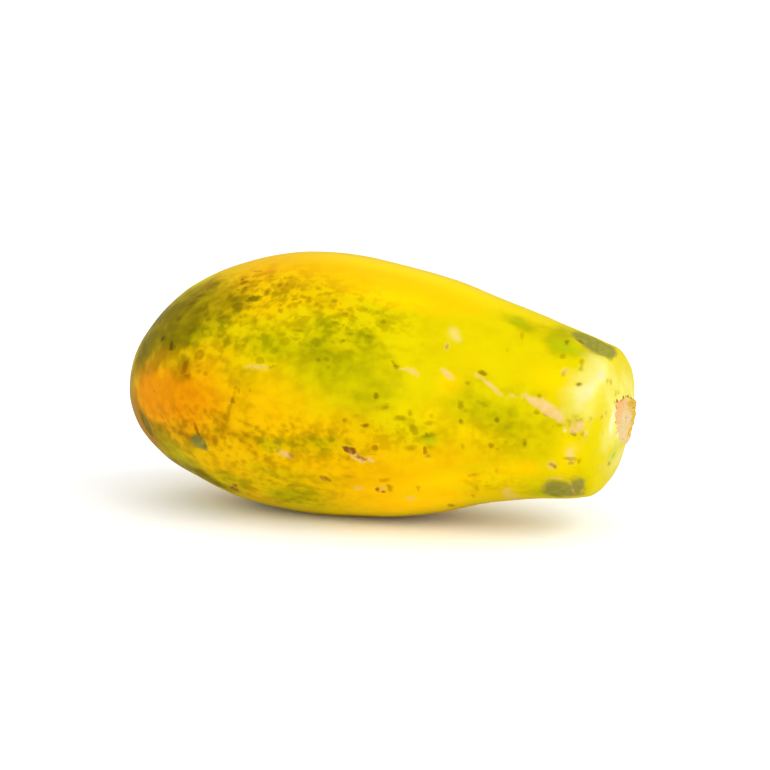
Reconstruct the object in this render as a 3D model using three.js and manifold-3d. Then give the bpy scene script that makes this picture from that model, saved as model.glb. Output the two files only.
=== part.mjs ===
// A whole, ripe papaya of the long, large-fruited kind, lying on its side as it rests on a table.
// It grew as one piece, so it is one solid. Units are millimetres and +Z is up. The fruit lies
// along X, with its blossom end at -X and the scar of its stem at +X.

import * as THREE from 'three';
import { mergeVertices } from 'three/addons/utils/BufferGeometryUtils.js';
import Module from 'manifold-3d';

const wasm = await Module();
wasm.setup();

// ---- Driving dimensions ----------------------------------------------------------------------

const LENGTH = 242; // blossom tip to stem scar, measured along the spine
const BELLY = 61; // radius of the fattest round
const STEM_SCAR = 12; // radius of the corky disc that the stem left
const BLOSSOM_SCAR = 5; // radius of the dimple around the dried blossom nub

const BLOSSOM_DROP = 30; // how far the spine curves down to the blossom tip
const BLOSSOM_BEND = 2.9; // higher keeps that curve closer to the tip
const STEM_DROP = 4; // how far it curves down to the stem scar
const STEM_SWAY = 1.6; // and how far it swings to the side at -Y there
const STEM_BEND = 2.6;
const LYING_TILT = -2; // degrees; the fruit lies with its stem end a little down

const RIDGES = 5; // one along each of the five carpels
const RIDGE_SHARE = 0.03; // height of a ridge at the stem end, as a share of the radius
const RIDGE_TURN = 77; // degrees from the top, to the side at -Y, of the first ridge

const FLAT_DEPTH = 1.2; // how much of the underside has been pressed flat by lying

// ---- How fine the skin is divided ------------------------------------------------------------

const ROW = 7; // longest step along the outline
const SEGMENTS = 56; // facets around the fruit

// ---- Outline ---------------------------------------------------------------------------------

// Half the lengthwise section of the fruit before it is bent: [along / LENGTH, radius / BELLY].
const BODY = [
  [0.012, 0.2],
  [0.033, 0.405],
  [0.083, 0.635],
  [0.182, 0.876],
  [0.322, 1],
  [0.463, 0.995],
  [0.612, 0.92],
  [0.744, 0.755],
  [0.851, 0.64],
  [0.926, 0.565],
  [0.966, 0.51],
  [0.983, 0.31],
];

// The dimple at the blossom tip with its dried nub: [along in mm, radius / BLOSSOM_SCAR].
const BLOSSOM_END = [
  [0.2, 0],
  [0.3, 0.3],
  [1.5, 0.5],
  [1.4, 0.8],
  [0.9, 1.15],
];

// The stem scar, a raised corky rim around a shallow dish: [mm past the crown, radius / STEM_SCAR].
const CROWN = 0.992 * LENGTH;
const STEM_END = [
  [-0.6, 1.2],
  [0.2, 1.06],
  [1.7, 0.95],
  [1.6, 0.78],
  [0.7, 0.55],
  [0.4, 0.25],
  [0.6, 0],
];

// Where the fruit departs from its even outline. Each is centred at a share of the length and a
// turn in degrees from the top to the side at -Y, fades over reach mm, and stands height mm proud.
const SWELLINGS = [
  { along: 0.93, turn: 170, reach: 18, height: 4.3 },
  { along: 0.93, turn: 350, reach: 18, height: -0.4 },
  { along: 0.79, turn: 168, reach: 24, height: 0.6 },
  { along: 0.6, turn: 352, reach: 30, height: -2.1 },
  { along: 0.27, turn: 172, reach: 30, height: -1 },
  { along: 0.1, turn: 172, reach: 20, height: -0.7 },
  { along: 0.3, turn: 250, reach: 42, height: 1.4 },
  { along: 0.62, turn: 285, reach: 34, height: -1.3 },
  { along: 0.14, turn: 300, reach: 26, height: -0.8 },
];

function outlinePoints() {
  const points = [];
  for (const [along, share] of BLOSSOM_END) {
    points.push(new THREE.Vector2(share * BLOSSOM_SCAR, along));
  }
  for (const [alongShare, share] of BODY) {
    points.push(new THREE.Vector2(share * BELLY, alongShare * LENGTH));
  }
  for (const [past, share] of STEM_END) {
    points.push(new THREE.Vector2(share * STEM_SCAR, CROWN + past));
  }
  return points;
}

// The smooth curve through the outline points, cut into steps no longer than ROW.
function outlineRows() {
  const curve = new THREE.SplineCurve(outlinePoints());
  const spans = curve.points.length - 1;
  const rows = [curve.getPoint(0)];
  for (let span = 0; span < spans; span += 1) {
    const reach = curve.points[span].distanceTo(curve.points[span + 1]);
    const steps = Math.ceil(reach / ROW);
    for (let step = 1; step <= steps; step += 1) {
      rows.push(curve.getPoint((span + step / steps) / spans));
    }
  }
  return rows;
}

// ---- Growth: from the even, straight fruit to the one that lies here -------------------------

// The curved spine at a place x along the fruit, with x = 0 at mid length.
function spine(x) {
  const half = LENGTH / 2;
  const blossom = Math.max(-x / half, 0) ** BLOSSOM_BEND;
  const stem = Math.max(x / half, 0) ** STEM_BEND;
  return new THREE.Vector3(x, -STEM_SWAY * stem, -BLOSSOM_DROP * blossom - STEM_DROP * stem);
}

function swelling(along, turn, radius) {
  let height = 0;
  for (const place of SWELLINGS) {
    const ahead = along - place.along * LENGTH;
    const aside = 2 * radius * Math.sin((turn - THREE.MathUtils.degToRad(place.turn)) / 2);
    height += place.height * Math.exp(-(ahead ** 2 + aside ** 2) / place.reach ** 2);
  }
  return height;
}

// Moves a point of the lathed fruit, whose axis is Y, to its place on the grown one.
function grow(point) {
  const along = point.y;
  const turn = Math.atan2(point.x, point.z);
  let radius = Math.hypot(point.x, point.z);

  const ripple = Math.cos(RIDGES * (turn - THREE.MathUtils.degToRad(RIDGE_TURN)));
  radius *= 1 + RIDGE_SHARE * (along / LENGTH) ** 2 * ripple;
  radius += swelling(along, turn, radius) * Math.min(radius / BELLY, 1);

  const x = along - LENGTH / 2;
  const ahead = spine(x + 0.5).sub(spine(x - 0.5)).normalize();
  const side = new THREE.Vector3(0, 0, 1).cross(ahead).normalize();
  const up = new THREE.Vector3().crossVectors(ahead, side);
  point.copy(spine(x));
  point.addScaledVector(up, radius * Math.cos(turn));
  point.addScaledVector(side, -radius * Math.sin(turn));
}

function grownFruit() {
  let geometry = new THREE.LatheGeometry(outlineRows(), SEGMENTS);
  geometry.deleteAttribute('normal');
  geometry.deleteAttribute('uv');
  geometry = mergeVertices(geometry, 1e-3);
  const position = geometry.getAttribute('position');
  const point = new THREE.Vector3();
  for (let i = 0; i < position.count; i += 1) {
    point.fromBufferAttribute(position, i);
    grow(point);
    position.setXYZ(i, point.x, point.y, point.z);
  }
  geometry.rotateY(-THREE.MathUtils.degToRad(LYING_TILT));
  return geometry;
}

// ---- Solids ----------------------------------------------------------------------------------

function toSolid(geometry) {
  const index = geometry.getIndex().array;
  const corners = [];
  for (let i = 0; i < index.length; i += 3) {
    const [a, b, c] = [index[i], index[i + 1], index[i + 2]];
    if (a !== b && b !== c && c !== a) corners.push(a, b, c);
  }
  return new wasm.Manifold(
    new wasm.Mesh({
      numProp: 3,
      vertProperties: new Float32Array(geometry.getAttribute('position').array),
      triVerts: new Uint32Array(corners),
    }),
  );
}

function toGeometry(solid) {
  const mesh = solid.getMesh();
  const geometry = new THREE.BufferGeometry();
  geometry.setAttribute('position', new THREE.BufferAttribute(mesh.vertProperties, 3));
  geometry.setIndex(new THREE.BufferAttribute(mesh.triVerts, 1));
  geometry.computeVertexNormals();
  return geometry;
}

// Takes off the underside up to FLAT_DEPTH, which leaves the small flat spot that the fruit rests on.
function pressFlat(fruit) {
  fruit.computeBoundingBox();
  const table = new THREE.BoxGeometry(2 * LENGTH, 2 * LENGTH, LENGTH);
  table.deleteAttribute('normal');
  table.deleteAttribute('uv');
  table.translate(0, 0, fruit.boundingBox.min.z + FLAT_DEPTH - LENGTH / 2);
  return toGeometry(toSolid(fruit).subtract(toSolid(mergeVertices(table))));
}

function papaya() {
  const geometry = pressFlat(grownFruit());
  geometry.computeBoundingBox();
  const middle = geometry.boundingBox.getCenter(new THREE.Vector3());
  geometry.translate(-middle.x, -middle.y, -geometry.boundingBox.min.z);
  const skin = new THREE.MeshStandardMaterial({ color: 0xe6bd0c, roughness: 0.42, metalness: 0 });
  const fruit = new THREE.Mesh(geometry, skin);
  fruit.name = 'papaya';
  return fruit;
}

const group = new THREE.Group();
group.add(papaya());

export default group;
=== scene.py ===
# A whole ripe papaya lying on its side, on a plain pale floor in soft studio light.
# Sizes are in metres unless a name or a comment says otherwise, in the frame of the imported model.

import math
import random

import bmesh
import bpy
import numpy as np
from mathutils import Matrix, Vector, noise


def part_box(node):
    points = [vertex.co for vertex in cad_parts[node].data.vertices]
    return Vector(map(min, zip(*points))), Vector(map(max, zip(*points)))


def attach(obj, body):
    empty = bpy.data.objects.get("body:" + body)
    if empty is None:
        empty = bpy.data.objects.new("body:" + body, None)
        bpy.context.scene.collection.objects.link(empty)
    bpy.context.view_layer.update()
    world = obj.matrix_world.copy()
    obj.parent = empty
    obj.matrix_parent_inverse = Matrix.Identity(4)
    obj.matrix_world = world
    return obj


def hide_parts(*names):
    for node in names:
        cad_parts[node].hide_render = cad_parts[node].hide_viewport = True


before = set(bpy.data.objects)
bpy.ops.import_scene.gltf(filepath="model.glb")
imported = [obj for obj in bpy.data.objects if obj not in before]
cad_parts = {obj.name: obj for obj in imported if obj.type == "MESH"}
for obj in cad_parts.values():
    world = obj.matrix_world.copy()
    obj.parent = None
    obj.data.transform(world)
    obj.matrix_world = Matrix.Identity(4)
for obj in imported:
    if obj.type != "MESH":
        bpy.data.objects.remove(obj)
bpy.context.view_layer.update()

# ---- Camera ----------------------------------------------------------------------------------
# A long lens a little over a metre away, turned towards the stem end and slightly above the
# fruit, aimed at its middle.

AZIMUTH = math.radians(22)
ELEVATION = math.radians(10)
DISTANCE = 1.1
AIM_SHIFT = Vector((0.0037, 0.0016, -0.0002))

fruit_low, fruit_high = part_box("papaya")
fruit_middle = (fruit_low + fruit_high) / 2

lens = bpy.data.cameras.new("long_lens")
lens.lens = 110.4
lens.sensor_width = 36
camera = bpy.data.objects.new("camera", lens)
bpy.context.scene.collection.objects.link(camera)
bpy.context.scene.camera = camera

away = Vector((
    math.sin(AZIMUTH) * math.cos(ELEVATION),
    -math.cos(AZIMUTH) * math.cos(ELEVATION),
    math.sin(ELEVATION),
))
camera.rotation_euler = away.to_track_quat("Z", "Y").to_euler()
camera.location = fruit_middle + AIM_SHIFT + away * DISTANCE

# ---- Floor and light -------------------------------------------------------------------------
# A white sweep of paper under and behind the fruit in a white room, with one broad soft light
# from the stem end's side and a broader, lower one from the front.

FLOOR_RADIUS = 40

bpy.context.scene.view_settings.view_transform = "Standard"

paper = bpy.data.materials.new("white_paper")
paper.use_nodes = True
paper_finish = paper.node_tree.nodes["Principled BSDF"]
paper_finish.inputs["Base Color"].default_value = (0.97, 0.97, 0.97, 1)
paper_finish.inputs["Roughness"].default_value = 0.95
paper_finish.inputs["Specular IOR Level"].default_value = 0.1

sweep = bmesh.new()
bmesh.ops.create_circle(sweep, cap_ends=True, segments=96, radius=FLOOR_RADIUS)
floor_mesh = bpy.data.meshes.new("floor")
sweep.to_mesh(floor_mesh)
sweep.free()
floor_mesh.materials.append(paper)
floor = bpy.data.objects.new("floor", floor_mesh)
bpy.context.scene.collection.objects.link(floor)

room = bpy.data.worlds.new("white_room")
room.use_nodes = True
room.node_tree.nodes["Background"].inputs["Color"].default_value = (1, 1, 1, 1)
room.node_tree.nodes["Background"].inputs["Strength"].default_value = 1
bpy.context.scene.world = room


def soft_sun(name, strength, spread, azimuth, elevation):
    """A broad, even light from far away, in degrees round from the front and up."""
    glow = bpy.data.lights.new(name, "SUN")
    glow.energy = strength
    glow.angle = math.radians(spread)
    lamp = bpy.data.objects.new(name, glow)
    turn, rise = math.radians(azimuth), math.radians(elevation)
    towards = Vector((
        math.sin(turn) * math.cos(rise),
        -math.cos(turn) * math.cos(rise),
        math.sin(rise),
    ))
    lamp.rotation_euler = towards.to_track_quat("Z", "Y").to_euler()
    bpy.context.scene.collection.objects.link(lamp)


soft_sun("key_from_stem_end", strength=1.4, spread=50, azimuth=80, elevation=35)
soft_sun("fill_from_front", strength=1.3, spread=80, azimuth=30, elevation=10)

# ---- The fruit's shape -----------------------------------------------------------------------
# One whole papaya, grown in one piece round a bent spine: fattest in the middle, with the dimple
# of the dried blossom at one end and the corky scar of the cut stem at the other.

LENGTH = 0.242  # blossom tip to stem scar, along the spine
BELLY = 0.061  # radius of the fattest round
STEM_SCAR = 0.012  # radius of the corky disc that the stem left
BLOSSOM_SCAR = 0.005  # radius of the dimple around the dried nub
BLOSSOM_DROP = 0.030  # how far the spine curves down to the blossom tip
BLOSSOM_BEND = 2.9  # higher keeps that curve closer to the tip
STEM_DROP = 0.004  # how far it curves down to the stem scar
STEM_SWAY = 0.0016  # and how far it swings to the front there
STEM_BEND = 2.6
LYING_TILT = math.radians(-2)  # the fruit lies with its stem end a little down
RIDGES = 5  # one along each of the five carpels
RIDGE_SHARE = 0.03  # height of a ridge at the stem end, as a share of the radius
RIDGE_TURN = math.radians(77)  # from the top, towards the front, of the first ridge
FLAT_DEPTH = 0.0012  # how much of the underside is pressed flat by lying
ROW = 0.0011  # longest step along the outline
FINE_ROW = 0.00045  # and within the reach of the two scars
FINE_REACH = 1.6  # of STEM_SCAR
SEGMENTS = 264
MERGE_DISTANCE = 1e-6
MM = 0.001

# Half the lengthwise section before it bends: shares of LENGTH and BELLY. All but the first of
# these radii, the drops, sway, tilt and blossom bend above, the lens and aim of the camera, and
# the heights of the first six swellings below began as a program's fit to a real fruit's outline,
# and were then rounded.
BODY = [
    (0.012, 0.2), (0.033, 0.405), (0.083, 0.635), (0.182, 0.876), (0.322, 1), (0.463, 0.995),
    (0.612, 0.92), (0.744, 0.755), (0.851, 0.64), (0.926, 0.562), (0.961, 0.505), (0.977, 0.31),
]
# The blossom dimple with its nub: mm along, share of BLOSSOM_SCAR.
BLOSSOM_END = [(0.2, 0), (0.3, 0.3), (1.5, 0.5), (1.4, 0.8), (0.9, 1.15)]
# The end under the stem scar: mm past the crown, share of STEM_SCAR.
CROWN = 0.992 * LENGTH
STEM_END = [(-1.9, 1.2), (-1.4, 0.95), (-1, 0.7), (-0.7, 0.4), (-0.6, 0.2), (-0.6, 0)]

# Swellings and hollows: share of the length, turn in degrees, reach in mm, height in mm.
SWELLINGS = [
    (0.93, 170, 18, 4.3), (0.93, 350, 18, -0.4), (0.79, 168, 24, 0.6), (0.6, 352, 30, -2.1),
    (0.27, 172, 30, -1), (0.1, 172, 20, -0.7), (0.3, 250, 42, 1.4), (0.62, 285, 34, -1.3),
    (0.14, 300, 26, -0.8),
]


def outline_points():
    """Half the lengthwise section, as distances from the spine and along it."""
    points = [Vector((share * BLOSSOM_SCAR, along * MM)) for along, share in BLOSSOM_END]
    points += [Vector((share * BELLY, along * LENGTH)) for along, share in BODY]
    points += [Vector((share * STEM_SCAR, CROWN + past * MM)) for past, share in STEM_END]
    return points


def outline_rows():
    """The smooth curve through the outline points, a Catmull-Rom spline, in short steps."""
    points = outline_points()
    padded = [points[0]] + points + [points[-1]]
    rows = [points[0]]
    for before, start, end, after in zip(padded, padded[1:], padded[2:], padded[3:]):
        fine = min(start.x, end.x) < FINE_REACH * STEM_SCAR
        steps = max(2, math.ceil((end - start).length / (FINE_ROW if fine else ROW)))
        for step in range(1, steps + 1):
            t = step / steps
            rows.append(0.5 * (
                2 * start
                + (end - before) * t
                + (2 * before - 5 * start + 4 * end - after) * t ** 2
                + (3 * start - before - 3 * end + after) * t ** 3
            ))
    return rows


def spine(x):
    """The places on the bent spine at these distances from its middle."""
    blossom = np.maximum(-2 * x / LENGTH, 0) ** BLOSSOM_BEND
    stem = np.maximum(2 * x / LENGTH, 0) ** STEM_BEND
    return np.stack([x, -STEM_SWAY * stem, -BLOSSOM_DROP * blossom - STEM_DROP * stem], axis=-1)


def swelling(along, turn, radius):
    """How far the swellings lift the skin, each as a soft round hill."""
    height = 0
    for share, place, reach, rise in SWELLINGS:
        ahead = (along - share * LENGTH) / MM
        aside = 2 * radius / MM * np.sin((turn - np.radians(place)) / 2)
        height = height + rise * np.exp(-(ahead ** 2 + aside ** 2) / reach ** 2)
    return height * MM


def unit(arrows):
    return arrows / np.linalg.norm(arrows, axis=-1, keepdims=True)


def grow(along, turn, radius):
    """The places on the grown fruit of points of the even, straight one."""
    ridges = np.cos(RIDGES * (turn - RIDGE_TURN))
    radius = radius * (1 + RIDGE_SHARE * (along / LENGTH) ** 2 * ridges)
    radius = radius + swelling(along, turn, radius) * np.minimum(radius / BELLY, 1)
    x = along - LENGTH / 2
    ahead = unit(spine(x + 0.5 * MM) - spine(x - 0.5 * MM))
    side = unit(np.cross((0, 0, 1), ahead))
    up = np.cross(ahead, side)
    across = up * np.cos(turn)[..., None] - side * np.sin(turn)[..., None]
    lying = np.array(Matrix.Rotation(-LYING_TILT, 3, "Y"))
    return (spine(x) + across * radius[..., None]) @ lying.T


rows = outline_rows()
fruit = bmesh.new()
half_section = [fruit.verts.new((0, row.x, row.y)) for row in rows]
for pair in zip(half_section, half_section[1:]):
    fruit.edges.new(pair)
section_mesh = bpy.data.meshes.new("half_section")
fruit.to_mesh(section_mesh)
fruit.free()

section = bpy.data.objects.new("half_section", section_mesh)
bpy.context.scene.collection.objects.link(section)
all_round = section.modifiers.new("all_round", "SCREW")
all_round.steps = all_round.render_steps = SEGMENTS
all_round.use_merge_vertices = True
all_round.merge_threshold = MERGE_DISTANCE
turned_section = section.evaluated_get(bpy.context.evaluated_depsgraph_get())
fruit = bmesh.new()
fruit.from_mesh(turned_section.to_mesh())
bmesh.ops.remove_doubles(fruit, verts=fruit.verts, dist=MERGE_DISTANCE)
bmesh.ops.recalc_face_normals(fruit, faces=fruit.faces)
fruit_mesh = bpy.data.meshes.new("papaya_fruit")
fruit.to_mesh(fruit_mesh)
fruit.free()
bpy.data.objects.remove(section)


def read_rows(collection, name):
    """A mesh's own list of points or arrows, one in each row."""
    values = np.empty(len(collection) * 3)
    collection.foreach_get(name, values)
    return values.reshape(-1, 3)


straight = read_rows(fruit_mesh.vertices, "co")
along = straight[:, 2]
turn = np.arctan2(-straight[:, 0], straight[:, 1])
radius = np.hypot(straight[:, 0], straight[:, 1])
grown = grow(along, turn, radius)
to_frame = np.array([
    fruit_low.x - grown[:, 0].min(),
    fruit_middle.y - (grown[:, 1].min() + grown[:, 1].max()) / 2,
    fruit_low.z - grown[:, 2].min() - FLAT_DEPTH,
])
grown += to_frame
fruit_mesh.vertices.foreach_set("co", grown.ravel())
fruit_mesh.update()
outwards = read_rows(fruit_mesh.vertex_normals, "vector")

# ---- Where it ripened ------------------------------------------------------------------------
# The skin turned from green to yellow in clouds, from the blossom end up. Each patch is its
# place along (mm from the blossom) and round (degrees from the top, towards the front), its half
# length and half width in mm, its tilt in degrees, and how strong it is. A few of the lists also
# hold painted light, as said at each.

# On the front the patches follow a real fruit: they were placed on a flat map of its skin
# and tuned against its measured colours.

# The ripest flush, strongest by the blossom end.
ORANGE = [
    (38, 84, 26, 16, 0, 1), (24, 74, 14, 15, 0, 0.85), (58, 88, 16, 11, 0, 0.45),
    (28, 66, 12, 7, 0, 0.3), (50, 100, 12, 8, 0, 0.35), (78, 24, 16, 8, 0, 0.4),
    (128, 122, 16, 10, 0, 0.2), (86, 9, 30, 8, 0, 0.35), (52, 356, 26, 13, 0, 0.6),
    (30, 200, 22, 26, 0, 0.6), (26, 290, 24, 26, 0, 0.75), (70, 215, 22, 16, 20, 0.4),
]
# Deep yellow over the upper side, the belly and the back.
GOLD = [
    (84, 18, 28, 18, 0, 1), (112, 8, 34, 16, 0, 0.7), (138, 10, 42, 10, 0, 0.8),
    (68, 31, 12, 8, 0, 0.6), (84, 43, 24, 12, 0, 0.8), (118, 42, 12, 8, 0, 0.5),
    (75, 95, 40, 22, 0, 0.95), (112, 108, 35, 18, 0, 0.8), (135, 124, 42, 20, 0, 1),
    (175, 114, 30, 12, 0, 0.55), (60, 116, 18, 14, 0, 0.9), (66, 139, 14, 10, 0, 0.9),
    (40, 84, 45, 40, 0, 1), (140, 24, 44, 9, 0, 0.7), (60, 332, 30, 18, 0, 0.7),
    (110, 190, 60, 45, 0, 0.9), (60, 280, 40, 40, 0, 0.9), (130, 250, 50, 30, 0, 0.6),
    (190, 180, 30, 25, 0, 0.5),
]
# Clean yellow with no green left in it, along the top, low on the front and on the neck. Along the
# top and low on the front it is partly painted light: the glow at the top edge and light bounced up
# from the floor.
CLEAR_AND_LIT = [
    (150, 150, 55, 9, 0, 0.7), (120, 152, 30, 6, 0, 0.5), (195, 128, 20, 9, 0, 0.5),
    (140, 8, 80, 12, 0, 0.7), (226, 104, 8, 10, 0, 0.7), (215, 56, 14, 14, 0, 0.5),
    (152, 88, 16, 12, 0, 0.4), (185, 56, 20, 14, 0, 0.3), (222, 122, 10, 8, 0, 0.5),
]
# Bright, warm yellow low on the belly and along the top: partly the skin's own warm tone and
# partly painted light, for light bounced up from the floor and the glow at the top edge.
SUNNY_AND_LIT = [
    (150, 143, 42, 9, 0, 0.8), (128, 131, 26, 7, 0, 0.4), (170, 128, 26, 7, 0, 0.6),
    (135, 33, 28, 8, 0, 0.6), (184, 96, 16, 8, 0, 0.5), (172, 72, 8, 6, 0, 0.5),
    (66, 127, 8, 6, 0, 0.4), (92, 127, 10, 6, 0, 0.4), (205, 121, 14, 7, 0, 0.5),
    (140, 22, 40, 8, 0, 0.4), (165, 88, 10, 8, 0, 0.4), (170, 338, 22, 10, 0, 0.5),
]
# Greenish yellow, which turns last.
LIME = [
    (124, 72, 25, 12, 0, 0.75), (138, 80, 16, 10, 0, 0.5), (138, 64, 12, 6, 0, 0.4),
    (86, 64, 16, 9, 0, 0.5), (112, 54, 7, 5, 0, 0.6), (132, 56, 10, 4, 0, 0.6),
    (95, 66, 9, 5, 0, 0.35), (191, 83, 24, 15, 0, 0.62), (165, 102, 6, 4, 0, 0.6),
    (190, 20, 11, 6, 10, 0.8), (209, 18, 7, 12, 0, 0.9), (217, 26, 7, 6, 0, 0.55),
    (118, 106, 20, 6, 0, 0.6), (92, 108, 10, 5, 0, 0.7), (100, 135, 18, 12, 0, 0.6),
    (62, 55, 14, 10, 0, 0.6), (75, 76, 10, 6, 0, 0.3), (25, 116, 14, 10, 0, 0.5),
    (30, 125, 12, 8, 0, 0.6), (55, 136, 16, 10, 0, 0.7), (211, 147, 9, 8, 0, 0.75),
    (226, 20, 14, 20, 0, 0.35), (120, 58, 12, 6, 0, 0.35), (111, 62, 5, 3.4, 0, 0.6),
    (92, 65, 7, 4.5, 0, 0.4), (130, 57, 7, 2.6, 0, 0.4), (116, 53, 6, 3.4, 0, 0.4),
    (150, 80, 10, 8, 0, 0.35), (85, 42, 18, 9, 0, 0.45), (50, 57, 8, 6, 0, 0.6),
    (44, 50, 14, 9, 0, 0.6), (118, 124, 9, 6, 0, 0.3), (80, 104, 14, 7, 0, 0.3),
    (80, 120, 10, 4, 10, 0.5), (64, 128, 12, 4, 10, 0.4), (98, 122, 12, 4, -5, 0.4),
    (88, 138, 16, 5, 0, 0.5), (26, 106, 7, 8, 0, 0.6), (14, 20, 12, 12, 0, 0.5),
    (12, 330, 12, 18, 0, 0.6), (130, 335, 24, 12, 0, 0.5), (150, 300, 50, 24, 0, 0.8),
    (90, 240, 26, 14, -15, 0.6), (200, 230, 26, 16, 0, 0.7),
]
# Dull dark green, strongest over the blossom end.
OLIVE = [
    (40, 36, 20, 16, -8, 0.9), (54, 33, 12, 12, 0, 0.6), (25, 44, 11, 12, 0, 0.8),
    (67, 42, 13, 9, 0, 0.55), (50, 52, 14, 8, 0, 0.45), (33, 134, 14, 7, 0, 0.9),
    (15, 140, 14, 12, 0, 0.9), (7, 85, 10, 40, 0, 0.6), (46, 141, 10, 6, 0, 0.75),
    (90, 145, 18, 7, 0, 0.3), (70, 152, 20, 6, 0, 0.15), (40, 47, 12, 7, 0, 0.5),
    (36, 142, 8, 5, 0, 0.6), (80, 79, 12, 7, 0, 0.5), (13, 90, 5, 14, 0, 0.7),
    (80, 50, 16, 7, 0, 0.15), (46, 58, 9, 7, 0, 0.4), (24, 105, 7, 7, 0, 0.3),
    (115, 40, 7, 6, 0, 0.3), (30, 22, 14, 9, 0, 0.8), (46, 20, 11, 8, 0, 0.3),
    (66, 32, 9, 6, 0, 0.3), (80, 54, 8, 4, 0, 0.35), (76, 43, 8, 5, 0, 0.25),
    (37, 57, 7, 5, 0, 0.35), (72, 62, 10, 6, 0, 0.25), (80, 90, 9, 6, 0, 0.2),
    (16, 55, 7, 8, 0, 0.5), (35, 62, 8, 5, 0, 0.4), (14, 96, 7, 9, 0, 0.5),
    (72, 49, 9, 6, 0, 0.15), (42, 60, 10, 6, 0, 0.45), (49, 69, 9, 5, 0, 0.7),
    (106, 41, 7, 4, 0, 0.35), (22, 102, 8, 8, 0, 0.5), (42, 111, 8, 5, 0, 0.4),
    (90, 141, 9, 3, 0, 0.4), (8, 200, 12, 20, 0, 0.5), (17, 108, 6, 12, 0, 0.5),
    (40, 112, 10, 5, 0, 0.4), (104, 107, 8, 3, 0, 0.5), (10, 88, 7, 26, 0, 0.6),
    (95, 320, 28, 12, 10, 0.6), (50, 245, 18, 14, 0, 0.6), (165, 285, 16, 8, 0, 0.5),
]
# Brownish blushes where the orange meets the olive.
RUSSET = [
    (37, 61, 11, 4, 0, 0.6), (48, 73, 6, 6, 0, 0.85), (56, 73, 5, 5, 0, 0.5),
    (10, 80, 13, 42, 0, 0.6), (37, 101, 12, 5, 0, 0.65), (66, 98, 6, 6, 0, 0.6),
    (30, 106, 15, 7, 0, 0.35), (26, 72, 8, 6, 0, 0.25), (14, 92, 6, 14, 0, 0.8),
    (36, 61, 12, 6, 0, 0.4), (70, 30, 12, 6, 0, 0.3), (86, 38, 12, 6, 0, 0.3),
    (79, 108, 9, 6, 0, 0.35), (76, 103, 14, 7, 0, 0.45), (45, 110, 6, 5, 0, 0.4),
    (52, 28, 6, 8, 0, 0.4), (57, 108, 9, 7, 0, 0.5), (80, 116, 14, 5, 0, 0.3),
    (60, 190, 20, 12, 0, 0.4),
]
# Where blots and freckles lie.
MOTTLED = [
    (98, 42, 28, 15, 0, 1), (78, 33, 14, 9, 0, 0.8), (128, 48, 20, 12, 0, 0.9),
    (70, 62, 22, 14, 0, 0.8), (85, 110, 32, 18, 0, 0.8), (62, 112, 26, 16, 0, 0.55),
    (122, 104, 24, 10, 0, 0.9), (100, 138, 34, 14, 0, 0.5), (60, 136, 24, 12, 0, 0.4),
    (155, 97, 16, 9, 0, 0.7), (56, 30, 12, 8, 0, 0.5), (40, 98, 26, 12, 0, 0.7),
    (185, 134, 18, 8, 0, 0.6), (195, 98, 24, 14, 0, 0.4), (112, 62, 30, 12, 0, 0.5),
    (100, 332, 60, 20, 0, 0.6), (90, 300, 40, 25, 0, 0.8), (120, 215, 40, 20, 0, 0.6),
    (45, 230, 30, 30, 0, 0.6),
]
# Where fine dark grains crowd.
PEPPERED = [
    (72, 27, 20, 8, 0, 1), (90, 33, 24, 10, 0, 0.9), (58, 33, 10, 7, 0, 0.7),
    (112, 42, 18, 9, 0, 0.6), (84, 132, 30, 10, 0, 0.3), (120, 116, 26, 6, 0, 0.5),
    (52, 100, 22, 8, 0, 0.25), (150, 100, 22, 8, 0, 0.5), (62, 62, 14, 8, 0, 0.5),
    (228, 84, 5, 8, 0, 0.5), (80, 210, 40, 20, 0, 0.7), (120, 300, 40, 16, 0, 0.6),
]
# Small spots that are still green.
UNRIPE = [
    (211, 25, 6, 7, 0, 0.5), (218, 26, 5, 4, 20, 0.6), (190, 19, 7, 3.5, 10, 0.4),
    (220.5, 39, 2.2, 1.8, 0, 0.6), (165, 102, 5, 3, 0, 0.55), (209, 150, 7, 4, 0, 0.5),
    (115, 53, 5, 3, 0, 0.35), (92, 65, 6, 4, 0, 0.2), (111, 62, 4, 3, 0, 0.4),
    (130, 57, 6, 2.4, 0, 0.3), (238.8, 118, 2, 8, 0, 0.7), (238, 150, 3.5, 4, 0, 0.9),
    (160, 300, 24, 10, 0, 0.5),
]
# Whitish spots round the stem's scar, partly the skin's own pale spots and partly a painted
# highlight: the thin bright strip beside the scar and the spots on the shoulder.
MILKY_AND_HIGHLIGHT = [
    (238, 74, 2, 9, 0, 1), (239, 92, 1.6, 5, 0, 0.9), (229.5, 54, 3.5, 5, 0, 0.7),
    (227.5, 64, 4, 5, 0, 0.6), (232, 44, 3, 5, 20, 0.5), (223.2, 90, 1, 1.2, 0, 0.8),
    (237, 52, 3, 5, 0, 0.3), (231, 33, 4, 4, 0, 0.4),
]
# Washed-out yellow over the stem end, partly the skin's own paler yellow and partly a painted
# highlight where the key light falls on the shoulder and the end face.
PALE_AND_HIGHLIGHT = [
    (229, 52, 9, 22, 0, 0.85), (236, 40, 9, 16, 0, 0.55), (239, 82, 5, 10, 0, 0.95),
    (237, 100, 6, 7, 0, 0.6), (236, 130, 7, 12, 0, 0.2), (227, 109, 4, 6, 0, 0.2),
    (229, 32, 6, 7, 0, 0.5), (236.5, 200, 8, 18, 0, 0.6), (236.5, 300, 10, 24, 0, 0.7),
]
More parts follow.
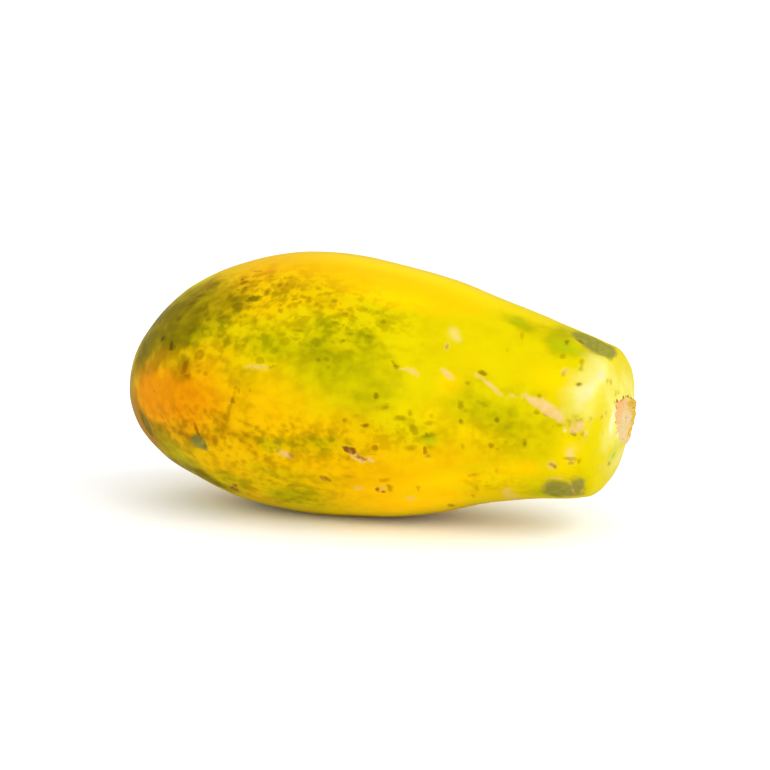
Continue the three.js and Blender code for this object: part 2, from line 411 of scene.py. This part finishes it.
# Faint pinkish rubs.
BLUSHED = [
    (231.5, 39, 2, 3.4, 25, 0.8), (229.5, 61, 3, 3.4, 0, 0.5), (229, 49, 2.4, 3, 0, 0.4),
    (226, 111, 3, 4, 0, 0.5), (168.5, 44, 4, 4.5, 0, 0.42), (167.5, 43, 1.6, 2.4, 20, 0.2),
    (170, 45.5, 2.4, 1.6, 30, 0.3), (234, 20, 4, 3, 0, 0.4),
]

# How far over the skin each row of the outline lies from the blossom tip, between the scars.
walked = np.cumsum([0] + [(end - start).length for start, end in zip(rows, rows[1:])])
between_scars = np.array([row.x > BLOSSOM_SCAR for row in rows])
surface = walked[between_scars]
upward = np.maximum.accumulate(np.array([row.y for row in rows])[between_scars])


def across_mark(place, around, half_length, half_width, tilt):
    """Where each point lies along and across a mark, in the mark's half sizes."""
    ahead = np.interp(along, upward, surface) - np.interp(place * MM, upward, surface)
    aside = radius * ((turn - math.radians(around) + math.pi) % math.tau - math.pi)
    lean = math.radians(tilt)
    length_way = ahead * math.cos(lean) + aside * math.sin(lean)
    width_way = aside * math.cos(lean) - ahead * math.sin(lean)
    return np.stack([length_way / (half_length * MM), width_way / (half_width * MM)])


def clouds(patches):
    """How far the skin has turned at each point, where soft patches add up without edges."""
    bare = np.ones(len(along))
    for *shape, strength in patches:
        ahead, aside = across_mark(*shape)
        bare *= 1 - strength * np.exp(-ahead ** 2 - aside ** 2)
    return 1 - bare


def keep(name, values):
    """Writes one value for each point of the mesh, for the skin's material to read."""
    fruit_mesh.attributes.new(name, "FLOAT", "POINT").data.foreach_set("value", values)


for name, patches in {
    "orange": ORANGE, "gold": GOLD, "clear_and_lit": CLEAR_AND_LIT, "lime": LIME, "olive": OLIVE,
    "russet": RUSSET, "sunny_and_lit": SUNNY_AND_LIT, "unripe": UNRIPE, "mottled": MOTTLED,
    "peppered": PEPPERED, "pale_and_highlight": PALE_AND_HIGHLIGHT, "milky_and_highlight": MILKY_AND_HIGHLIGHT, "blushed": BLUSHED,
}.items():
    keep(name, clouds(patches))

# ---- Scars, bruises and specks ---------------------------------------------------------------
# What rubbing leaves, knocks and handling left on the skin. Each mark is its place along and
# round, its half length and half width in mm, its tilt and its strength, as for the patches.

# On the front they follow a real fruit. Most places were read off a flat map of its skin,
# and about a quarter are a program's answers for single spots, rounded.

# Scrapes that healed over with pale cork.
CORKY = [
    (209, 73.5, 4.6, 1.7, 15, 1), (214.5, 76.5, 5.4, 2.6, 28, 1), (219.5, 80, 3.4, 2, 35, 1),
    (206, 73, 1.6, 1, 15, 0.9), (228.3, 86.5, 3.2, 1.8, -35, 0.9), (226.4, 89, 1.6, 1.2, 0, 0.8),
    (232, 90.5, 0.8, 1.8, 0, 0.7), (226, 83.5, 1.2, 0.8, 0, 0.5), (188, 68, 6.2, 0.9, 28, 0.8),
    (170.6, 67.2, 2.9, 1.2, 28, 0.75), (155.5, 69, 2.4, 1.1, 10, 0.65),
    (151.5, 68.5, 1.6, 0.6, 0, 0.8), (195, 144, 2, 4.5, 20, 0.45), (196, 151, 4, 4, 0, 0.4),
    (138.5, 112.5, 1.8, 1.4, 30, 0.7), (133, 111.5, 4, 1.7, 30, 0.7),
    (130, 129, 2.6, 1.1, 5, 0.7), (98, 112, 4, 1.3, 20, 0.8), (86, 74.5, 3.6, 0.9, 0, 0.6),
    (82, 74, 1.4, 0.5, 0, 0.6), (199, 72, 1.6, 0.6, 20, 0.5), (203, 71.5, 0.8, 1, 0, 0.4),
    (217.5, 119.5, 2, 2.2, 0, 0.4), (152.5, 138, 2, 1.8, 0, 0.4), (167, 52.5, 1.4, 1.8, 0, 0.3),
    (217.3, 46.5, 1.6, 2, 0, 0.35), (218, 131.5, 2.4, 0.6, 0, 0.6),
    (225.4, 147, 0.6, 3.4, 0, 0.5), (221.5, 155, 2.6, 0.6, 0, 0.5), (228.4, 150, 0.5, 2, 25, 0.5),
    (141.5, 128.8, 1.2, 0.9, 0, 0.6),
]
# Dead brown skin in and beside the scrapes.
BROWN = [
    (129.5, 108, 2.6, 1.6, 15, 1), (133, 110.5, 2.6, 1, 35, 0.8), (136, 112, 1, 0.9, 0, 1),
    (101, 112.5, 2, 1.4, 15, 0.9), (139, 129.8, 0.9, 1.7, 0, 1), (141, 131.4, 1.6, 1, 0, 1),
    (115, 124, 2.4, 1.3, 25, 0.7), (218.4, 119.8, 1.4, 0.9, 20, 0.6),
    (164, 111, 1.2, 0.9, 0, 0.7), (95, 106, 1.8, 1.2, 0, 0.5), (30, 77, 0.8, 0.7, 0, 0.7),
    (56.5, 136.5, 2.5, 1.2, -45, 0.8), (73.5, 23, 2.4, 0.4, 25, 0.5), (54, 140, 3, 2.6, -20, 0.9),
]
# Grey-green bruises, soft and a little sunken.
BRUISES = [
    (217, 5, 7, 6, 16, 0.8), (223, 8, 8, 7.5, 20, 1), (229, 10.5, 5, 5.5, 20, 1),
    (218.5, 146, 8.5, 9.5, 0, 1), (228.5, 142, 4.5, 9, 0, 0.65), (47, 108.5, 5.6, 4.2, -10, 0.9),
    (50.5, 109.5, 3, 4, 0, 0.75), (15, 93, 3.4, 7, 0, 0.55), (190, 262, 10, 7, 20, 0.9),
    (75, 322, 9, 6, -15, 0.8), (184, 270, 6, 5, 0, 0.55), (83, 327, 6, 4, -30, 0.5),
]
# Dark olive stains.
STAINS = [
    (76.8, 42, 3.4, 1.7, 5, 1), (71.5, 41, 4.5, 1.6, 0, 0.5), (25.5, 43, 1.6, 5, -15, 0.7),
    (38, 50, 3, 1.6, 50, 0.8), (43, 58, 3, 1.6, 60, 0.85), (48, 106, 4.5, 2, -10, 0.7),
    (111, 62, 2.4, 1.8, 0, 0.6), (231.5, 15, 1.6, 3.5, 0, 0.6), (230, 136, 1, 1.6, 0, 1),
    (164.5, 99.5, 3, 0.8, -15, 0.8), (165, 106, 1.2, 0.8, 0, 0.4), (144.5, 129, 0.9, 2, 0, 0.7),
    (63, 102, 2, 1, 0, 0.5), (15, 94, 3.6, 7, 0, 1),
]
# Single specks and short streaks.
SPECKS = [
    (76, 34, 1.6, 1, 0, 0.6), (71, 31, 1.5, 1.4, 0, 0.7), (77, 47, 1.3, 1, 0, 0.7),
    (83, 39, 1.2, 1.8, 0, 0.8), (87, 34.5, 1.1, 1.6, 0, 0.6), (148.5, 67.5, 2, 0.9, 45, 0.9),
    (142, 82, 1.1, 1.1, 0, 0.8), (146, 86.5, 1.8, 1, 0, 0.6), (157, 88, 0.9, 1.3, 0, 0.6),
    (153, 91, 2.6, 1.1, 5, 0.7), (128, 94, 1.1, 1, 0, 0.7), (137.5, 95.5, 1.4, 0.8, -5, 1),
    (133, 91.5, 1.2, 0.6, 0, 0.4), (141, 106, 1.4, 1.4, 0, 0.8), (139, 109, 1.2, 0.5, 0, 0.6),
    (158.5, 96, 2.6, 1.6, 60, 0.6), (165, 92.5, 1.8, 0.8, -20, 0.5), (178.5, 91, 1, 1, 0, 0.8),
    (178, 82, 2, 1.1, 70, 0.6), (187.5, 80, 2.2, 0.9, 10, 0.4), (193.7, 88, 1.1, 1.2, 0, 0.8),
    (206, 102.3, 1, 1.7, 0, 0.8), (191.5, 105, 1.1, 1.2, 0, 0.7), (194, 107, 1, 0.7, 0, 0.5),
    (179, 105.5, 0.7, 1, 0, 0.5), (163, 108, 1, 1.6, 0, 0.8), (157, 106, 2.4, 1.5, 0, 0.5),
    (179.5, 69.7, 0.9, 0.8, 0, 0.6), (210.3, 69, 0.9, 1, 0, 0.6), (210.5, 80, 1, 0.9, 0, 0.6),
    (214.5, 80.5, 1.2, 0.8, 20, 0.7), (167, 52.5, 0.9, 1.2, 0, 0.9),
    (217.4, 47, 0.9, 1.6, 0, 0.8), (224.6, 54.8, 1, 1.5, 0, 1), (184.6, 62.4, 2, 1.2, 0, 0.9),
    (214, 35, 1, 1.5, 0, 0.5), (213, 22, 0.9, 1.8, 0, 0.8), (223, 38, 0.8, 2.5, -20, 0.5),
    (195, 31, 0.6, 1.8, -15, 0.4), (182.5, 125.5, 2.5, 1, -10, 0.5), (193, 124, 0.8, 1.5, 0, 0.4),
    (182.5, 136.5, 1, 2, 0, 0.4), (179.7, 144, 1, 1.8, 0, 0.6), (157.3, 130, 0.7, 2, 0, 0.5),
    (144, 124, 2.5, 1, -10, 0.5), (127, 122, 2.6, 0.8, 0, 0.4), (96, 129.5, 2.5, 0.7, -25, 0.5),
    (60.5, 76, 1.2, 1.1, 0, 0.5), (77, 84, 1, 1.2, 0, 0.6), (58, 93, 1.2, 1.4, 0, 0.4),
    (84.5, 100, 1.3, 0.7, 0, 0.6), (103.5, 98.5, 1.6, 0.7, 55, 0.5), (93, 74, 1.5, 0.8, -15, 0.5),
    (87, 71.5, 1.8, 1.3, 0, 0.5), (113.5, 69.2, 1, 0.9, 0, 0.6), (102, 57.5, 2.5, 0.5, 0, 0.8),
    (117, 52, 1.6, 0.8, 0, 0.7), (113, 41, 1, 1, 0, 0.6), (138, 47.5, 1.5, 1.5, 0, 0.5),
    (236.5, 35, 0.8, 1, 0, 0.5), (237, 48, 0.7, 1.3, 0, 0.4), (235.5, 74, 0.8, 0.8, 0, 0.5),
    (236.8, 157, 0.9, 1.8, 0, 0.7), (241.3, 144, 0.8, 1.4, 0, 0.8), (167.5, 152, 1.4, 2, 0, 0.7),
    (221.5, 86.5, 2.6, 0.6, -15, 0.5), (225, 83, 1.4, 0.7, 0, 0.4), (227, 78.5, 1, 0.7, 0, 0.4),
    (228.5, 81, 1.2, 0.8, 0, 0.5), (233, 78, 0.8, 1, 0, 0.5), (231, 91, 0.7, 0.9, 0, 0.4),
    (236, 95, 0.8, 1, 0, 0.4), (226.8, 91.4, 0.9, 0.8, 0, 0.9), (236, 69, 1, 1, 0, 0.4),
    (234.8, 35, 1, 0.8, 0, 0.5), (234, 38, 0.8, 1, 0, 0.4), (237, 28, 0.8, 1.2, 0, 0.5),
    (238, 154, 1.4, 1.2, 0, 0.6), (232, 93, 0.7, 0.8, 0, 0.5), (225.5, 113.5, 1.9, 0.9, 0, 0.6),
    (226, 117.5, 1.6, 0.9, 0, 0.5), (229.2, 115.5, 0.8, 1, 0, 0.5), (217, 14, 1.8, 0.8, 10, 0.6),
    (113, 44, 1.4, 1.4, 0, 0.4), (120, 47, 2.2, 1.3, 0, 0.35), (97, 63, 2.2, 1.8, 0, 0.4),
    (93, 67, 1.8, 1.4, 0, 0.4), (125, 56, 1.5, 0.6, 0, 0.5), (134, 56, 2.2, 1, 0, 0.4),
    (65, 63, 2, 1.4, 0, 0.4), (36, 129, 7, 0.8, -12, 0.4), (56, 126, 6, 0.7, -12, 0.4),
    (45, 97, 2.4, 0.8, 0, 0.5), (104, 35, 0.9, 0.8, 0, 0.5), (166, 89, 0.7, 0.8, 0, 0.4),
    (180, 84.5, 0.8, 0.7, 0, 0.4), (198, 102.5, 0.7, 0.8, 0, 0.4),
    (191.5, 44.5, 0.7, 0.8, 0, 0.4), (232.5, 79, 0.7, 0.9, 0, 0.4),
    (187.5, 135.5, 1, 0.8, 0, 0.4), (110, 131, 1, 0.8, 0, 0.4), (84.5, 127.5, 1.3, 0.6, 0, 0.5),
    (57, 74.5, 1, 0.8, 0, 0.4), (83, 84, 0.9, 0.8, 0, 0.5), (99, 98.5, 1, 0.8, 0, 0.4),
    (112, 98.5, 0.9, 0.8, 0, 0.4), (117, 68.5, 1, 0.7, 0, 0.5), (118.5, 72, 0.8, 0.8, 0, 0.4),
    (101.5, 61.3, 1.2, 0.7, 0, 0.5), (134, 43, 1.1, 0.9, 0, 0.4), (131.5, 52.5, 0.9, 0.8, 0, 0.4),
    (57.5, 67, 2.6, 2.2, 0, 0.6), (50, 71, 3, 1.6, -60, 0.6), (51, 76, 2.4, 1.4, 30, 0.5),
    (72, 92, 8, 0.9, -65, 0.5), (65.6, 104, 5, 0.8, -80, 0.4), (76, 83, 1.2, 1, 0, 0.5),
    (50, 101, 0.9, 3, 0, 0.9), (42.5, 57.5, 1.3, 2, 0, 0.7), (37.5, 50, 1.4, 1.4, 0, 0.7),
    (45, 43, 1.4, 1, 0, 0.5), (50, 36, 2.4, 1, 0, 0.6), (53, 32, 1.6, 1, 0, 0.6),
    (60, 50, 1, 1, 0, 0.6), (47, 106.5, 4.4, 1.6, -10, 0.4), (51, 111, 1.6, 1.4, 0, 0.4),
    (74, 88.5, 1.4, 1.8, 0, 0.8), (69.3, 96, 1.7, 1.6, 0, 0.6), (67, 100, 1, 1.8, 0, 0.5),
    (65, 105, 1.6, 1.2, 0, 0.6), (66.5, 110, 1.8, 0.8, 0, 0.5), (80, 98.5, 3.4, 0.6, 20, 0.4),
    (87, 101.5, 3.4, 0.6, 20, 0.4), (93.5, 104, 3, 0.7, 20, 0.5),
]

HIDDEN_LENGTH = (15, 226)  # mm along, clear of the two ends
HIDDEN_ROUND = (172, 336)  # degrees round, over the underside and the back
PIECE_STEP = 0.9  # from one piece of a broken mark to the next, as a share of its size
FAR_OFF = 9.0  # a mark that isn't there, in its half sizes

SEED = 5

chance = random.Random(SEED)


def scattered(count, longest, widest, strongest, pieces=1):
    """The like marks of the back and the underside, thrown by chance, some in a few pieces."""
    marks = []
    for _ in range(count):
        ahead, around = chance.uniform(*HIDDEN_LENGTH), chance.uniform(*HIDDEN_ROUND)
        tilt, strength = chance.uniform(-30, 50), strongest * chance.uniform(0.4, 1)
        lean = math.sin(math.radians(tilt))
        for piece in range(pieces):
            step = PIECE_STEP * piece
            marks.append((
                ahead + longest * (step + chance.uniform(-0.3, 0.3)),
                around + widest * (step * lean + chance.uniform(-0.5, 0.5)),
                longest * chance.uniform(0.3, 1), widest * chance.uniform(0.3, 1),
                tilt + chance.uniform(-20, 20), strength * chance.uniform(0.6, 1),
            ))
    return marks


CORKY += scattered(13, longest=2.8, widest=1.5, strongest=1, pieces=3)
BROWN += scattered(10, longest=2.4, widest=1.5, strongest=0.9)
STAINS += scattered(8, longest=2.6, widest=1.6, strongest=0.8, pieces=2)
SPECKS += scattered(60, longest=1.8, widest=1.1, strongest=0.8)

corner_points = np.empty(len(fruit_mesh.loops), dtype=int)
fruit_mesh.loops.foreach_get("vertex_index", corner_points)
first_corners = np.empty(len(fruit_mesh.polygons), dtype=int)
fruit_mesh.polygons.foreach_get("loop_start", first_corners)
face_sides = np.diff(first_corners, append=len(corner_points))
face_points = corner_points[first_corners]


def keep_marks(name, marks):
    """Each face notes where its corners lie on the nearest mark, and that mark's size."""
    nearest = np.full(len(face_sides), np.inf)
    on_mark = np.full((len(corner_points), 3), FAR_OFF)
    strengths = np.zeros(len(corner_points))
    for place, around, half_length, half_width, tilt, strength in marks:
        ways = across_mark(place, around, half_length, half_width, tilt)
        reach = np.hypot(*ways[:, face_points])
        closer = reach < nearest
        nearest[closer] = reach[closer]
        chosen = np.repeat(closer, face_sides)
        on_mark[chosen, :2] = ways[:, corner_points[chosen]].T
        on_mark[chosen, 2] = min(half_length, half_width)
        strengths[chosen] = strength
    coded = fruit_mesh.attributes.new(name, "FLOAT_VECTOR", "CORNER")
    coded.data.foreach_set("vector", on_mark.ravel())
    fruit_mesh.attributes.new(name + "_strength", "FLOAT", "CORNER").data.foreach_set(
        "value", strengths)


for name, marks in {
    "corky": CORKY, "brown": BROWN, "stained": STAINS, "specked": SPECKS,
}.items():
    keep_marks(name, marks)
keep("bruised", clouds(BRUISES))

# ---- The two ends ----------------------------------------------------------------------------
# The stem was cut close: a corky, torn scar with a lumpy rim round a fibrous dish, a little above
# the middle of the end. At the other end the blossom left a dark nub in its dimple.

SCAR_FROM_POLE = np.array((0, 2.5, 1)) * MM
SCAR_HALF_WIDTH = 14 * MM
SCAR_HALF_HEIGHT = 11.2 * MM
SCAR_LEAN = 0.5  # how far the scar slants aside, as a share of its height
SCAR_CORNER = math.radians(147)  # where the scar runs out to a corner, from +Y towards +Z
SCAR_STEP = 1 * MM  # how far the scar stands out of the end
SCAR_RIM_RISE = 1 * MM
SCAR_DISH_DEPTH = 0.6 * MM
SCAR_GRIT = 0.3 * MM
TORN_SIZE = 4 * MM  # of the lumps in the scar's outline and rim
GRITTY_SIZE = 1.5 * MM

pole = grown[np.argmin(radius + LENGTH * (along < LENGTH / 2))]
from_scar = grown - pole - SCAR_FROM_POLE
scar_turn = np.arctan2(from_scar[:, 2], from_scar[:, 1])
to_corner = (scar_turn - SCAR_CORNER + math.pi) % math.tau - math.pi
torn = np.array([noise.noise(Vector(spot) / TORN_SIZE) for spot in grown])
gritty = np.array([noise.noise(Vector(spot) / GRITTY_SIZE) for spot in grown])
scar_across = (from_scar[:, 1] + SCAR_LEAN * from_scar[:, 2]) / SCAR_HALF_WIDTH
scar_away = np.hypot(scar_across, from_scar[:, 2] / SCAR_HALF_HEIGHT)
corner_share = np.exp(-(to_corner / 0.4) ** 2)
scar_away = scar_away / (1 + 0.1 * corner_share + 0.1 * torn + 0.06 * gritty)
scar_away[along < 0.9 * LENGTH] = FAR_OFF

# The step up from the skin, the lumpy rim, lower at the foot and on the near side, and the dish.
far_side = np.clip(0.6 + scar_across, 0, 1)
rim_share = np.exp(-((scar_away - 0.9) / 0.12) ** 2)
low_side = np.clip(-from_scar[:, 2] / SCAR_HALF_HEIGHT, 0, 1)
scar_relief = SCAR_STEP * (1 - 0.6 * low_side) * np.clip((1.5 - scar_away) / 0.7, 0, 1) ** 2
scar_relief += (
    SCAR_RIM_RISE * rim_share * (0.2 + 0.8 * far_side - 0.5 * low_side) * (0.8 + 1.2 * torn))
scar_relief -= SCAR_DISH_DEPTH * np.clip((0.85 - scar_away) / 0.3, 0, 1) * (0.8 + 0.8 * torn)
scar_relief += SCAR_GRIT * gritty * (scar_away < 1)

keep("stem_scar", np.clip(1.5 - scar_away / 2, 0, 1.5))
keep("scar_rim", np.clip(1.8 - np.abs(scar_away - 0.8) / 0.25, 0, 1) * np.clip(
    3 * scar_across + 0.3, 0, 1))
keep("scar_edge", np.clip(1.2 - np.abs(scar_away - 1) / 0.045, 0, 1) * np.clip(
    1.5 * from_scar[:, 2] / SCAR_HALF_HEIGHT - 0.5 + 2 * gritty, 0, 1))
keep("scar_corner", np.exp(-(to_corner / 0.6) ** 2) * np.clip(1.8 * scar_away - 0.8, 0, 1))
keep("blossom_nub", np.clip(1.3 - radius / BLOSSOM_SCAR, 0, 1) * (along < 0.05 * LENGTH))

# ---- The skin --------------------------------------------------------------------------------
# A thin waxy skin, satin rather than glossy, coloured right through by the ripening. The marks
# lie over that colour, and the cork of the scrapes and of the stem's scar is rougher than wax.

skin = bpy.data.materials.new("papaya_skin")
skin.use_nodes = True
finish = skin.node_tree.nodes["Principled BSDF"]
finish.inputs["Specular IOR Level"].default_value = 0.01


class Wire:
    """A wire in the skin's material. Sums on wires and numbers add the Math nodes they need."""

    def __init__(self, socket):
        self.socket = socket

    @staticmethod
    def node(kind, settings, inputs, output=0):
        """A node with its settings, then what its sockets hold or are fed, by name or number."""
        made = skin.node_tree.nodes.new("ShaderNode" + kind)
        for name, value in settings.items():
            setattr(made, name, value)
        for place, value in inputs.items():
            if isinstance(value, Wire):
                skin.node_tree.links.new(value.socket, made.inputs[place])
            else:
                made.inputs[place].default_value = value
        return Wire(made.outputs[output])

    def math(self, operation, *others):
        return Wire.node("Math", {"operation": operation}, dict(enumerate((self, *others))))

    def __add__(self, other):
        return self.math("ADD", other)

    def __sub__(self, other):
        return self.math("SUBTRACT", other)

    def __rsub__(self, other):
        return Wire.node("Math", {"operation": "SUBTRACT"}, {0: other, 1: self})

    def __mul__(self, other):
        return self.math("MULTIPLY", other)

    __radd__ = __add__
    __rmul__ = __mul__


def tint(red, green, blue):
    """A colour from its display values, 0 to 255."""
    shares = [value / 255 for value in (red, green, blue)]
    return (*[s / 12.92 if s < 0.04 else ((s + 0.055) / 1.055) ** 2.4 for s in shares], 1)


def field(name):
    """What the mesh notes under this name."""
    return Wire.node("Attribute", {"attribute_name": name}, {}, "Fac")


def fade(value, low, high):
    """0 below low, 1 above high and a smooth rise between, or a fall where low is the higher."""
    ends = {"Value": value, "From Min": low, "From Max": high}
    return Wire.node("MapRange", {"interpolation_type": "SMOOTHSTEP"}, ends)


def blend(amount, under, over, how="MIX"):
    """So much of one colour over another, or multiplied into it."""
    settings = {"data_type": "RGBA", "blend_type": how}
    return Wire.node("Mix", settings, {0: amount, 6: under, 7: over}, 2)


place = Wire.node("TexCoord", {}, {}, "Object")


def grain(size, detail, stretch=1, shift=0.0, output="Fac"):
    """Cloudy noise with blots of about this size in mm, stretched along the fruit."""
    spread = {"Vector": place, "Location": (shift, shift, shift), "Scale": (1 / stretch, 1, 1)}
    shifted = Wire.node("Mapping", {"vector_type": "POINT"}, spread)
    blots = {"Vector": shifted, "Scale": 1 / (size * MM), "Detail": detail}
    return Wire.node("TexNoise", {}, blots, output)


cloudy = grain(18, 2, 1.5)
patchy = grain(8, 2, 1.3, 0.3)
blotty = grain(4.2, 1, 1.2, 0.6)
fine = grain(2.2, 1, 1, 0.9)

uneven = cloudy * 0.4 + patchy * 0.35 + blotty * 0.25 - 0.5


def turned(name, low, high, unevenness):
    """How much of a ripening tone shows, broken up at its edges."""
    share = field(name)
    return fade(share + uneven * unevenness, low, high) * fade(share, 0.03, 0.2)


# Where a tone starts and is full, how broken up it is, and its colour, from the lowest up.
TONES = {
    "gold": (0.1, 0.95, 1.2, tint(221, 173, 0)),
    "orange": (0.1, 1.0, 1.2, tint(218, 139, 0)),
    # Partly painted light: the clear tone is brighter along the top and low on the front.
    "clear_and_lit": (0.1, 0.95, 1.0, tint(230, 202, 0)),
    # Partly painted light: the sunny tone is brighter low on the belly and along the top.
    "sunny_and_lit": (0.1, 0.95, 1.0, tint(248, 196, 0)),
    "lime": (0.1, 0.95, 1.6, tint(160, 154, 0)),
    "unripe": (0.1, 0.95, 1.6, tint(166, 178, 10)),
    "olive": (0.15, 0.95, 1.3, tint(120, 106, 0)),
    "russet": (0.15, 0.95, 1.5, tint(168, 116, 0)),
}
# The same for the washed-out tones, which lie over the blots too. The pale and milky tones are
# partly a painted highlight on the stem end.
PALE_AND_HIGHLIGHT_TONES = {
    "pale_and_highlight": (0.1, 0.95, 1.4, tint(206, 198, 96)),
    "milky_and_highlight": (0.1, 0.95, 1.2, tint(210, 202, 142)),
    "blushed": (0.1, 0.95, 1.4, tint(212, 188, 140)),
}

colour = tint(198, 181, 0)
for name, (low, high, unevenness, tone) in TONES.items():
    colour = blend(turned(name, low, high, unevenness), colour, tone)

# Blots, freckles and finer pepper, each in its own regions.
mottled = field("mottled")
blots = fade(fine * 0.25 + blotty * 0.45 + patchy * 0.3, 0.44, 0.6) * mottled
colour = blend(blots, colour, tint(206, 206, 140), "MULTIPLY")

WOBBLE = 5 * MM  # keeps the freckles out of rows and their outlines uneven
wobble = Wire.node("VectorMath", {"operation": "MULTIPLY_ADD"}, {
    0: grain(4, 1, 1, 1.5, "Color"), 1: (WOBBLE,) * 3, 2: (-WOBBLE / 2,) * 3,
})
wavering = Wire.node("VectorMath", {"operation": "ADD"}, {0: place, 1: wobble})


def sprinkled(spacing, share, size):
    """Spots this many mm apart, some left out by a draw and fewer where the share is low."""
    cells = {"Vector": wavering, "Scale": 1 / (spacing * MM)}
    away = Wire.node("TexVoronoi", {}, cells, "Distance")
    draw = Wire.node("SeparateXYZ", {}, {0: Wire(away.socket.node.outputs["Color"])}, 0)
    return fade(away - (draw - 1 + share * 0.5) * size, 0.12, -0.06)


colour = blend(sprinkled(4.5, mottled, 0.55) * 0.6, colour, tint(190, 182, 120), "MULTIPLY")
peppered = sprinkled(2.3, field("peppered"), 0.6)
colour = blend(peppered * 0.75, colour, tint(172, 150, 84), "MULTIPLY")
shaded = fade(cloudy * 0.4 + patchy * 0.4 + blotty * 0.2, 0.35, 0.65)
colour = blend(shaded, colour, blend(1.0, colour, tint(245, 242, 200), "MULTIPLY"))
for name, (low, high, unevenness, tone) in PALE_AND_HIGHLIGHT_TONES.items():
    colour = blend(turned(name, low, high, unevenness), colour, tone)

ragged = patchy * 0.2 + blotty * 0.4 + fine * 0.4 - 0.5


def marked(name, soft, raggedness):
    """How much of a mark shows, with its edge softened and made ragged by so many mm."""
    on_mark = Wire.node("Attribute", {"attribute_name": name}, {}, "Vector")
    flat = Wire.node("VectorMath", {"operation": "MULTIPLY"}, {0: on_mark, 1: (1, 1, 0)})
    away = Wire.node("VectorMath", {"operation": "LENGTH"}, {0: flat}, "Value")
    size = Wire.node("SeparateXYZ", {}, {0: on_mark}, 2)
    edge = (away - 1) * size + ragged * raggedness
    return fade(edge, soft, -soft) * field(name + "_strength")


grit = fade(fine * 0.6 + blotty * 0.4, 0.4, 0.62)
corky = marked("corky", 0.7, 5)
bruised = fade(field("bruised") + ragged * 0.7, 0.32, 0.68)
brown = marked("brown", 0.6, 5)
specked = marked("specked", 0.7, 5)
stained = marked("stained", 1, 6)
colour = blend(stained * 0.85, colour, tint(96, 86, 0))
colour = blend(bruised * 0.9, colour, blend(grit, tint(116, 114, 44), tint(130, 127, 56)))
colour = blend(specked * 0.9, colour, blend(1.0, colour, tint(160, 142, 100), "MULTIPLY"))
colour = blend(corky * 0.9, colour, blend(grit, tint(206, 170, 100), tint(208, 178, 122)))
colour = blend(brown * 0.95, colour, blend(grit, tint(112, 66, 18), tint(160, 106, 48)))

scar = fade(field("stem_scar") + ragged * 0.2, 0.98, 1.02)
sandy = grain(0.9, 1, 1, 2)
scar_colour = blend(fade(blotty, 0.4, 0.62), tint(196, 176, 130), tint(200, 172, 118))
scar_colour = blend(field("scar_corner"), scar_colour, tint(204, 146, 84))
rim_colour = blend(grit, tint(188, 148, 44), tint(204, 178, 80))
scar_colour = blend(field("scar_rim"), scar_colour, rim_colour)
holes = fade(sandy * 0.6 + fine * 0.4 + 0.06 * field("scar_rim"), 0.6, 0.68)
scar_colour = blend(holes * 0.8, scar_colour, tint(140, 90, 34))
colour = blend(scar, colour, scar_colour)
colour = blend(fade(field("scar_edge") + sandy - 0.5, 0.3, 0.7), colour, tint(128, 100, 40))
colour = blend(field("blossom_nub"), colour, tint(70, 55, 20))
skin.node_tree.links.new(colour.socket, finish.inputs["Base Color"])

rough = 0.42 + 0.3 * corky + 0.3 * scar + 0.2 * bruised + 0.1 * (fine - 0.5)
skin.node_tree.links.new(rough.socket, finish.inputs["Roughness"])

PORE_HEIGHT = 0.25 * MM
height = fine * 0.3 + blotty * 0.5 + 0.6 * (corky + scar) * fine
uneven_skin = Wire.node("Bump", {}, {"Strength": 0.5, "Distance": PORE_HEIGHT, "Height": height})
skin.node_tree.links.new(uneven_skin.socket, finish.inputs["Normal"])

# ---- Relief, finish and frame ----------------------------------------------------------------
# The skin is never quite even: it has low lumps all over, bruises and scars are a little sunken,
# and cork stands out. The finished fruit takes the place of the plain solid.

CORK_HEIGHT = 0.15 * MM
BRUISE_DEPTH = 0.5 * MM
SCAR_DEPTH = 0.15 * MM
LUMPS = [(16, 0.25), (6, 0.07)]  # size and height in mm


def raised(marks, depth):
    """How far the marks stand out of the skin, or lie sunk in it, fading at their edges."""
    most = np.zeros(len(along))
    for *shape, strength in marks:
        reach = np.hypot(*across_mark(*shape))
        most = np.maximum(most, strength * np.clip((1.4 - reach) / 0.8, 0, 1))
    return most * depth


marked_relief = raised(CORKY, CORK_HEIGHT) - raised(BRUISES, BRUISE_DEPTH)
marked_relief -= raised(STAINS, SCAR_DEPTH) + raised(BROWN, SCAR_DEPTH)

points = [Vector(spot) for spot in grown]
lumps = sum(
    np.array([noise.noise(point / (size * MM)) for point in points]) * rise * MM
    for size, rise in LUMPS)
grown += outwards * (lumps + scar_relief + marked_relief)[:, None]
grown[:, 2] = np.maximum(grown[:, 2], fruit_low.z)
fruit_mesh.vertices.foreach_set("co", grown.ravel())
fruit_mesh.update()
fruit_mesh.shade_smooth()

papaya = bpy.data.objects.new("papaya_fruit", fruit_mesh)
bpy.context.scene.collection.objects.link(papaya)
fruit_mesh.materials.append(skin)

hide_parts("papaya")
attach(papaya, "root")
